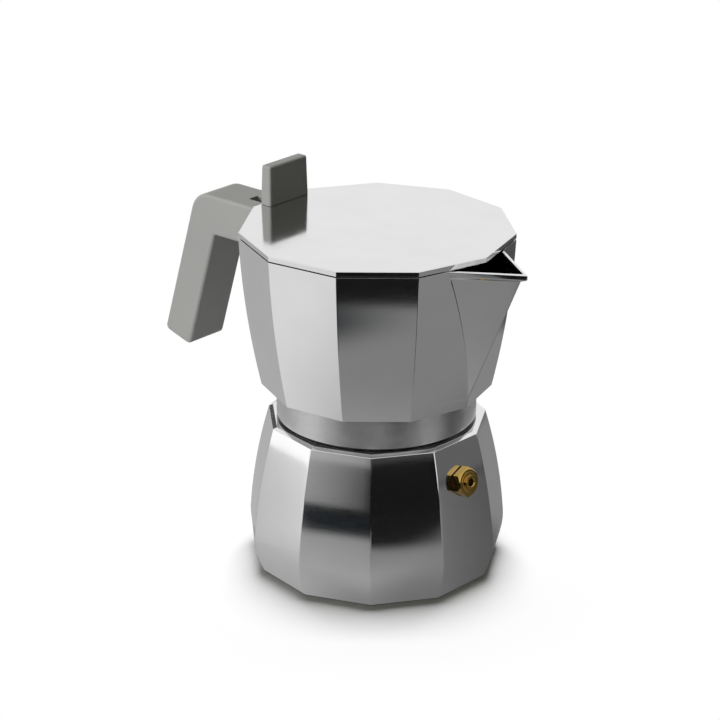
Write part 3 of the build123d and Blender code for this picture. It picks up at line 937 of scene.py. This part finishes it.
hollow = start_ring("hollow", SIDES, side_at(jug_side, jug_floor_z, jug_wall), jug_floor_z, 0.0, SPLITS)
grow_rings(
    hollow,
    side_rings("flat", jug_side, jug_floor_z, jug_rim_z, 16, jug_wall)
    + [("flat", side_at(jug_side, jug_rim_z, jug_wall), jug_rim_z + 1)],
)
add_face()
choose_rim(hollow, jug_floor_z)
grow_rings(
    hollow,
    [
        ("flat", side_at(jug_side, jug_floor_z, jug_wall), jug_floor_z),
        ("round", boss_foot_radius, jug_floor_z),
        ("round", boss_top_radius, boss_top),
    ],
)
close_up()
inset = spout_wall / math.sin(spout_half_angle)
lip_inset = lip_wall / math.sin(lip_half_angle)
throat = wedge(
    "throat",
    [
        (keel(jug_floor_z) - inset, jug_floor_z, spout_half_angle),
        (keel(spout_straight_top) - inset, spout_straight_top, spout_half_angle),
        (lip_tip - lip_inset, jug_rim_z, lip_half_angle),
        (lip_tip - lip_inset, jug_rim_z + 1, lip_half_angle),
    ],
    spout_inner_round,
)
face_outwards()
combine(hollow, throat, "UNION")
cut(jug, hollow)
skirt_thread = thread_ridge("skirt_thread", skirt_bore, -1, skirt_thread_z, skirt_thread_turns)
combine(jug, skirt_thread, "UNION")
drill_radius = handle_screw_radius + screw_fit
lug_drill = turned("lug_drill", [(drill_radius, lug_bottom - 1), (drill_radius, lug_top + 1)], 48)
move_piece(lug_drill, (handle_screw_x, 0, 0))
cut(jug, lug_drill)

# The same casting polished finer: brighter, with crisper reflections.
bright_aluminium = aluminium("bright_cast_aluminium", ("e0e0e0", "e4e4e4"), 0.1, 0.015, 0.012, 0.0015)


def jug_inside(middle, normal):
    """True for the chamber's wall and floor and the boss; the inside of the spout is polished."""
    on_floor = normal.z > 0.5 and middle.z < jug_floor_z + 1
    low = middle.z > jug_base_z and (middle.xy.length < 30 or on_floor)
    in_spout = middle.x > 51 and normal.x < -0.2
    return low or (faces_in(middle, normal) and not in_spout and jug_base_z < middle.z < jug_rim_z - 0.2)


finish_piece(
    jug,
    bright_aluminium,
    "jug",
    ["jug"],
    others=[
        # The chamber takes the blasted finish, darkened as painted shade.
        (blasted_aluminium_painted_shade, jug_inside),
        (turned_aluminium, lambda middle, normal: middle.z < jug_base_z - 0.1),
    ],
)

# ---- Coffee column
# The tapered riser in the middle of the jug, cast in aluminium and pressed into the boss, with two
# slots under its closed top.

column_top = 126.1
column_shoulder = (6.0, 124.85)
column_cap_radius = 4.75
outlet_low = 118.6
outlet_high = 123.6
outlet_half_width = 1.7

column = turned(
    "coffee_column_casting",
    [
        (column_bore + 0.8, boss_top - spigot_length),
        (spigot_radius, boss_top - spigot_length),
        (spigot_radius, boss_top),
        (boss_top_radius, boss_top),
        column_shoulder,
        (column_cap_radius, column_top),
        (1.5, column_top),
    ],
    96,
    0.2,
)
riser = turned("riser", [(column_bore, boss_top - spigot_length - 1), (column_bore, outlet_high)], 96)
cut(column, riser)
outlets = block("outlets", (-9, -outlet_half_width, outlet_low), (9, outlet_half_width, outlet_high))
cut(column, outlets)
finish_piece(column, bright_aluminium, "jug", ["coffee_column"])

# ---- Lid
# A flat eleven-sided plate, ground and polished to a mirror, with a rib under it that sits inside
# the jug and an ear at the back for the hinge pin.

lid_bottom = 141.82
lid_top = 144.1
lid_edge_bevel = 0.35
lid_edge_round = 0.09
lid_corner_round = 0.15
lid_strip = 1.5
rib_outer = 49.55
rib_inner = 47.75
rib_bottom = 139.9
hinge_x = -60.5
hinge_z = 137.0
ear_radius = 3.2
ear_half_width = 2.0
ear_bore = 1.55
ear_front = -50.95
ear_foot = -53.75
knob_screw_x = -50.25
knob_screw_y = 6.0
knob_screw_head = 2.3
knob_screw_radius = 1.25
knob_screw_length = 9.9

lid_profile = soften(
    [
        ("flat", rib_inner - 1.0, lid_bottom),
        ("flat", rib_inner, lid_bottom),
        ("flat", rib_inner, rib_bottom),
        ("flat", rib_outer, rib_bottom),
        ("flat", rib_outer, lid_bottom),
        ("flat", jug_rim_flat, lid_bottom),
        ("flat", jug_rim_flat, lid_top - lid_edge_bevel),
        ("flat", jug_rim_flat - lid_edge_bevel, lid_top),
        ("flat", jug_rim_flat - lid_strip, lid_top),
    ],
    lid_edge_round,
    2,
)
lid = start_ring("lid_plate", SIDES, lid_profile[0][1], lid_bottom, 0.0)
grow_rings(lid, lid_profile)
add_face()
choose_rim(lid, lid_bottom)
add_face()
choose_corners(lid, 0.0, jug_rim_flat - 0.4)
bevel(lid_corner_round, 2)
leave_mesh()

ear_outline = [(ear_front, lid_top - lid_edge_bevel - 0.1)]
for step in range(25):
    angle = math.radians(120 + 195 * step / 24)
    ear_outline.append((hinge_x + ear_radius * math.cos(angle), hinge_z + ear_radius * math.sin(angle)))
ear_outline += [(ear_foot, lid_bottom), (ear_front, lid_bottom)]


def slab(name, outline, half_width, side_edge, segments):
    """A solid across the pot with an (x, z) outline and rounded side edges."""
    piece = draw_outline(name, [(x, -half_width, z) for x, z in outline])
    bpy.ops.mesh.extrude_region_move(TRANSFORM_OT_translate={"value": (0, 2 * half_width, 0)})
    choose(piece, "EDGE", lambda edge: abs(edge.verts[0].co.y - edge.verts[1].co.y) < 0.01)
    bevel(side_edge, segments)
    face_outwards()
    return piece


def lay_across(piece):
    """Lays an upright mesh along Y, through the hinge."""
    piece.rotation_euler = (-math.pi / 2, 0, 0)
    piece.location = (hinge_x, 0, hinge_z)
    settle()


def cross_bar(name, radius, low, high):
    """A bar across the pot, along Y, between two distances from the middle."""
    piece = turned(name, [(radius, low), (radius, high)], 48)
    lay_across(piece)
    return piece


combine(lid, slab("ear", ear_outline, ear_half_width, lid_corner_round, 2), "UNION")
cut(lid, cross_bar("ear_drill", ear_bore, -5, 5))


def countersunk(name, place, head, radius, length, fit=0.0):
    """A countersunk screw standing on its head."""
    piece = turned(
        name,
        [(head + fit, 0.0), (radius + fit, head - radius), (radius + fit, length)],
        64,
    )
    move_piece(piece, place)
    return piece


for side in (-1, 1):
    place = (knob_screw_x, side * knob_screw_y, lid_bottom)
    sink = countersunk("sink", place, knob_screw_head, knob_screw_radius, 5.0, screw_fit)
    cut(lid, sink)

# Mirror-polished aluminium: nearly sharp reflections, and only a trace of waviness.
mirror_aluminium = aluminium("mirror_polished_aluminium", ("dddddd", "e1e1e1"), 0.095, 0.02, 0.004, 0.0004)
finish_piece(lid, mirror_aluminium, "lid", ["lid"])

# ---- Knob and its screws
# A moulded grey tab, slightly narrower at its top, held down by two countersunk screws from below.

knob_height = 16.8
knob_base = (5.6, 23.0)
knob_tip = (4.8, 22.2)
knob_round = 0.9
knob_foot_round = 0.3

knob = block(
    "knob_moulding",
    (knob_screw_x - knob_base[0] / 2, -knob_base[1] / 2, lid_top),
    (knob_screw_x + knob_base[0] / 2, knob_base[1] / 2, lid_top + knob_height),
)
open_mesh()
choose(knob, "FACE", lambda face: face.calc_center_median().z > lid_top + knob_height - 0.1)
bpy.ops.transform.resize(
    value=(knob_tip[0] / knob_base[0], knob_tip[1] / knob_base[1], 1),
    center_override=(knob_screw_x, 0, lid_top + knob_height),
)
choose(knob, "EDGE", lambda edge: max(vert.co.z for vert in edge.verts) > lid_top + 1)
bevel(knob_round, 5)
choose(knob, "EDGE", lambda edge: max(vert.co.z for vert in edge.verts) < lid_top + 0.01)
bevel(knob_foot_round, 2)
leave_mesh()
drill_radius = knob_screw_radius + screw_fit
for side in (-1, 1):
    drill = turned("drill", [(drill_radius, lid_top - 1), (drill_radius, lid_top + 8)], 48)
    move_piece(drill, (knob_screw_x, side * knob_screw_y, 0))
    cut(knob, drill)

# Moulded polyamide: neutral grey, matt, with a fine spark-eroded grain.
grey_plastic = dull_solid("moulded_grey_polyamide", ("919190", "9a9a98"), 0.5, 0.05, 0.4, 0.018)
finish_piece(knob, grey_plastic, "lid", ["knob"], 35.0)


def cross_recess(piece, place, width, depth, rise):
    """Cuts a cross for the screwdriver into the underside of a screw's head."""
    for turn in (0, math.pi / 2):
        slot = block("slot", (-width, -0.16 * width, -0.1), (width, 0.16 * width, depth))
        open_mesh()
        choose(slot, "FACE", lambda face: face.calc_center_median().z > depth - 0.01)
        bpy.ops.transform.resize(value=(rise, 0.8, 1), center_override=(0, 0, depth))
        leave_mesh()
        slot.rotation_euler = (0, 0, turn)
        slot.location = place
        settle()
        cut(piece, slot)


knob_screws = None
for side in (-1, 1):
    place = (knob_screw_x, side * knob_screw_y, lid_bottom)
    screw = countersunk(
        "knob_countersunk_screws", place, knob_screw_head, knob_screw_radius, knob_screw_length
    )
    cross_recess(screw, place, 1.3, 1.2, 0.35)
    if knob_screws is None:
        knob_screws = screw
    else:
        pick(knob_screws)
        screw.select_set(True)
        bpy.ops.object.join()
finish_piece(knob_screws, drawn_steel, "lid", ["knob_screws"])

# ---- Handle, its screw and the hinge pin
# One moulded bar: a level arm behind the jug and a grip that leans away from it, with a slot for
# the lid's ear, a socket over the jug's lug and a countersunk hole in the arm's underside.

arm_top = 140.9
arm_bottom = 123.8
handle_half_width = 10.3
handle_edge = 1.4
handle_foot_round = 2.4
handle_gap = 0.15
handle_front = -36.35
handle_outer = (-92.15, arm_top)
handle_foot_out = (-112.03, 74.62)
handle_foot_in = (-97.28, 70.19)
handle_inner = (-81.2, arm_bottom)
handle_bend = 10.0
handle_screw_head = 3.8
handle_screw_length = 6.5
handle_screw_sink = 0.2
slots_front = -36.0
ear_slot_end = -68.2
ear_slot_half_width = 2.6
ear_slot_floor = 133.3
ear_slot_top = 145.0
socket_end = -70.0
socket_half_width = lug_half_width + 0.15
socket_bottom = lug_bottom - 0.15
socket_top = lug_top + 0.15
pin_radius = 1.5
pin_far_end = -8.3
pin_head = 10.0


def rounded(before, corner, after, radius, steps):
    """Points along an arc of a given radius that rounds a corner."""
    corner, before, after = Vector(corner), Vector(before), Vector(after)
    back, ahead = (before - corner).normalized(), (after - corner).normalized()
    half = back.angle(ahead) / 2
    centre = corner + (back + ahead).normalized() * (radius / math.sin(half))
    start = corner + back * (radius / math.tan(half)) - centre
    end = corner + ahead * (radius / math.tan(half)) - centre
    turn = math.copysign(math.pi - 2 * half, start.cross(end))
    points = []
    for step in range(steps + 1):
        angle = turn * step / steps
        spin = Matrix.Rotation(angle, 2)
        points.append(tuple(centre + spin @ start))
    return points


handle_points = [(handle_front, arm_top)]
handle_points += rounded((handle_front, arm_top), handle_outer, handle_foot_out, handle_bend, 14)
handle_points += rounded(handle_outer, handle_foot_out, handle_foot_in, handle_foot_round, 7)
handle_points += rounded(handle_foot_out, handle_foot_in, handle_inner, handle_foot_round, 7)
handle_points += rounded(handle_foot_in, handle_inner, (handle_front, arm_bottom), 0.8, 4)
handle_points += [(handle_front, arm_bottom)]
handle = slab("handle_moulding", handle_points, handle_half_width, handle_edge, 4)

jug_form = start_ring("jug_form", SIDES, side_at(jug_side, 110, -handle_gap), 110, 0.0, 4)
grow_rings(
    jug_form,
    side_rings("flat", jug_side, 110, jug_rim_z, 12, -handle_gap)
    + [("flat", side_at(jug_side, jug_rim_z, -handle_gap), jug_rim_z + 2)],
)
add_face()
choose_rim(jug_form, 110)
close_up()
cut(handle, jug_form)
ear_slot = block(
    "ear_slot",
    (ear_slot_end, -ear_slot_half_width, ear_slot_floor),
    (slots_front, ear_slot_half_width, ear_slot_top),
)
# One tool for the slot and the pin's bore, because cut one after the other they can leave a gap.
pin_bore = cross_bar("pin_bore", pin_radius + 0.01, pin_far_end, pin_head + 1)
combine(ear_slot, pin_bore, "UNION")
cut(handle, ear_slot)
socket = block(
    "socket", (socket_end, -socket_half_width, socket_bottom), (slots_front, socket_half_width, socket_top)
)
cut(handle, socket)
screw_place = (handle_screw_x, 0, arm_bottom + handle_screw_sink)
sink = countersunk("sink", screw_place, handle_screw_head, handle_screw_radius, 4.0, screw_fit)
cut(handle, sink)
pocket_radius = handle_screw_head + screw_fit
pocket = turned("pocket", [(pocket_radius, arm_bottom - 1), (pocket_radius, screw_place[2])], 64)
move_piece(pocket, (handle_screw_x, 0, 0))
cut(handle, pocket)
finish_piece(handle, grey_plastic, "jug", ["handle"], 35.0)

handle_screw = countersunk(
    "handle_countersunk_screw", screw_place, handle_screw_head, handle_screw_radius, handle_screw_length
)
cross_recess(handle_screw, screw_place, 2.2, 2.0, 0.35)
finish_piece(handle_screw, drawn_steel, "jug", ["handle_screw"])

pin_outline = [(1.0, pin_far_end), (pin_radius, pin_far_end), (pin_radius, pin_head), (1.0, pin_head)]
pin = turned("hinge_cross_pin", pin_outline, 48, 0.18)
lay_across(pin)
finish_piece(pin, drawn_steel, "jug", ["hinge_pin"])

# ---- Studio
# A seamless white floor, a key light at the front left, and cards that only the metal sees.

scene = bpy.context.scene


def stage_plate(name, points, build):
    """A flat sheet through its corner points, with the surface that build returns."""
    plate = draw_outline(name, points)
    leave_mesh()
    plate.scale = (MM, MM, MM)
    settle()
    material, tree, output = blank_material(name)
    tree.links.new(build(tree), output.inputs["Surface"])
    plate.data.materials.append(material)
    return plate


def metal_only(plate):
    """Hides a card from everything but mirror-like reflections."""
    plate.visible_camera = False
    plate.visible_diffuse = False
    plate.visible_shadow = False
    plate.visible_transmission = False
    plate.visible_volume_scatter = False


def upright_card(name, start, end, low, high, surface):
    """A card that only the metal sees, over the line between two points of the floor."""
    corners = [(*start, low), (*end, low), (*end, high), (*start, high)]
    metal_only(stage_plate(name, corners, surface))


def joined(tree, how, first, second):
    """Two numbers between 0 and 1 added, multiplied or taken from each other."""
    settings = {"operation": how, "use_clamp": True}
    return add(tree, "ShaderNodeMath", settings, {0: first, 1: second}).outputs["Value"]


def ramp(tree, place, azimuth, start, end):
    """Rises smoothly from 0 to 1 between two distances along a level direction, in millimetres."""
    towards = (math.cos(math.radians(azimuth)), math.sin(math.radians(azimuth)), 0)
    along = add(tree, "ShaderNodeVectorMath", {"operation": "DOT_PRODUCT"}, {0: place, 1: towards})
    return spread(tree, along.outputs["Value"], 0.0, 1.0, start * MM, end * MM, "SMOOTHSTEP")


def glow(level):
    """Colour of a card's light; one number is a neutral grey."""
    return (*level, 1.0) if isinstance(level, tuple) else (level, level, level, 1.0)


def patched(base, patches):
    """A glowing surface of one level, with patches of other levels that have soft straight edges."""

    def surface(tree):
        place = add(tree, "ShaderNodeNewGeometry").outputs["Position"]
        level = glow(base)
        for patch_level, edges in patches:
            share = 1.0
            for azimuth, start, end in edges:
                share = joined(tree, "MULTIPLY", share, ramp(tree, place, azimuth, start, end))
            level = blend(tree, share, level, glow(patch_level))
        light = add(tree, "ShaderNodeEmission", inputs={"Color": level, "Strength": 1.0})
        return light.outputs["Emission"]

    return surface


def floor_surface(tree):
    """White paper that catches the shadow near the pot and is pure white further away."""
    place = add(tree, "ShaderNodeNewGeometry").outputs["Position"]
    reach = add(tree, "ShaderNodeVectorMath", {"operation": "LENGTH"}, {0: place})
    far = spread(tree, reach.outputs["Value"], 0.0, 1.0, 75 * MM, 120 * MM, "SMOOTHSTEP")
    paper = add(tree, "ShaderNodeBsdfDiffuse", inputs={"Color": colour("f0f0f2")})
    path = add(tree, "ShaderNodeLightPath")
    strength = spread(tree, path.outputs["Is Diffuse Ray"], 1.0, 0.1, 0.0, 1.0)
    white = add(tree, "ShaderNodeEmission", inputs={"Color": (1, 1, 1, 1), "Strength": strength})
    inputs = {"Fac": far, 1: paper.outputs["BSDF"], 2: white.outputs["Emission"]}
    return add(tree, "ShaderNodeMixShader", inputs=inputs).outputs["Shader"]


floor = stage_plate(
    "floor", [(-4000, -4000, 0), (4000, -4000, 0), (4000, 4000, 0), (-4000, 4000, 0)], floor_surface
)

# What the metal sees of the studio: a glowing floor card of painted light and shade, bright at the left and
# falling off to near black at the front right, with a painted cool tint in one dark patch; black flags and
# a grey card behind its edge, and a white softbox at the left.
painted_floor_light = patched(
    0.257,
    [
        (0.437, [(-93, 22, 57), (158, -152, -29)]),
        (0.486, [(193, 57, 64)]),
        (0.871, [(171, -27, 72), (-61, -10, 81)]),
        (0.114, [(-11, 13, 35), (130, -73, -10)]),
        (0.268, [(93, 65, 101), (170, -72, -35)]),
        ((0.009, 0.012, 0.015), [(-82, 170, 219), (-151, -84, -16), (-2, -3, 32)]),
        (0.004, [(-42, 270, 291)]),
        (0.009, [(-25, 128, 177), (40, 40, 54), (-100, 5, 50)]),
        (0.084, [(87, 224, 253), (-2, -38, -2)]),
    ],
)
# The sheet that carries the painted floor light and shade lies just above the floor, and only the metal
# sees it.
corners = [(-520, -430, 0.4), (900, -430, 0.4), (900, 520, 0.4), (-520, 520, 0.4)]
metal_only(stage_plate("painted_floor_light", corners, painted_floor_light))
# The front card is black at its foot, and it and the flag beside it are lighter higher up.
for part, low, high, grey, left_grey, black, start, end in (
    ("low_front", 0.4, 5, 0.02, 0.02, 0.015, 27, 78),
    ("front", 5, 88, 0.35, 0.45, 0.015, 27, 78),
    ("upper_front", 88, 150, 0.5, 0.55, 0.06, 30, 105),
):
    shades = patched(left_grey, [(grey, [(0, -60, 40)]), (black, [(0, start, end)])])
    upright_card(f"{part}_card", (-150, -430), (260, -430), low, high, shades)
for part, low, high, black in (("right", 0.4, 97, 0.007), ("upper_right", 97, 150, 0.06)):
    upright_card(f"{part}_flag", (260, -430), (430, -20), low, high, patched(black, []))
upright_card("left_softbox", (-300, -420), (-560, -120), 10, 500, patched(1.3, []))
upright_card("dark_back_card", (260, 420), (430, 180), 0.4, 300, patched(0.14, []))


def lamp(name, place, size, power, lights, shaded_by=None):
    """A square soft lamp that looks at the middle of the pot, for one collection, unseen by the metal."""
    data = bpy.data.lights.new(name, "AREA")
    data.energy = power
    data.shape = "SQUARE"
    data.size = size
    light = bpy.data.objects.new(name, data)
    scene.collection.objects.link(light)
    light.location = place
    aim = Vector((0, 0, 0.08)) - Vector(place)
    light.rotation_euler = aim.to_track_quat("-Z", "Y").to_euler()
    light.visible_glossy = False
    light.light_linking.receiver_collection = lights
    light.light_linking.blocker_collection = shaded_by


def gather(name, members):
    """A collection for light linking only."""
    collection = bpy.data.collections.new(name)
    for member in members:
        collection.objects.link(member)
    return collection


modelled = [boiler, valve_body, spring, jug, column, lid, knob, knob_screws, handle, handle_screw, pin]
pot = gather("pot", modelled)
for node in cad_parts.values():
    pot.objects.link(node)
ground = gather("ground", [floor])
foot_piece = gather("foot_piece", [boiler])
lamp("overhead", (0.0, 0.0, 1.6), 0.6, 9.5, pot)
lamp("key", (-0.36, -1.34, 0.38), 0.6, 19.0, pot)
lamp("floor_light", (-0.24, 0.28, 1.56), 0.9, 31.1, ground, foot_piece)

world = bpy.data.worlds.new("studio")
scene.world = world
world.use_nodes = True
sky = world.node_tree
sky.nodes.clear()
path = add(sky, "ShaderNodeLightPath")
seen = joined(sky, "ADD", path.outputs["Is Camera Ray"], path.outputs["Is Glossy Ray"])
seen = joined(sky, "ADD", seen, path.outputs["Is Transmission Ray"])
# Light that reaches a dull surface by way of the metal stays as dim as the rest of its surroundings.
undimmed = joined(sky, "SUBTRACT", 1.0, path.outputs["Diffuse Depth"])
shade = blend(sky, joined(sky, "MULTIPLY", seen, undimmed), glow((0.085, 0.084, 0.064)), glow(1.0))
sky_light = add(sky, "ShaderNodeBackground", inputs={"Color": shade, "Strength": 1.0})
add(sky, "ShaderNodeOutputWorld", inputs={"Surface": sky_light.outputs["Background"]})

camera_place = Vector((0.62506, -0.72435, 0.47338))
camera_target = Vector((-0.00509, -0.00446, 0.08639))
camera_data = bpy.data.cameras.new("camera")
camera_data.lens = 126.97
camera_data.sensor_width = 36.0
camera = bpy.data.objects.new("camera", camera_data)
scene.collection.objects.link(camera)
camera.location = camera_place
aim = (camera_target - camera_place).to_track_quat("-Z", "Y")
camera.rotation_euler = (aim.to_matrix() @ Matrix.Rotation(math.radians(0.15), 3, "Z")).to_euler()
scene.camera = camera
scene.view_settings.view_transform = "Standard"
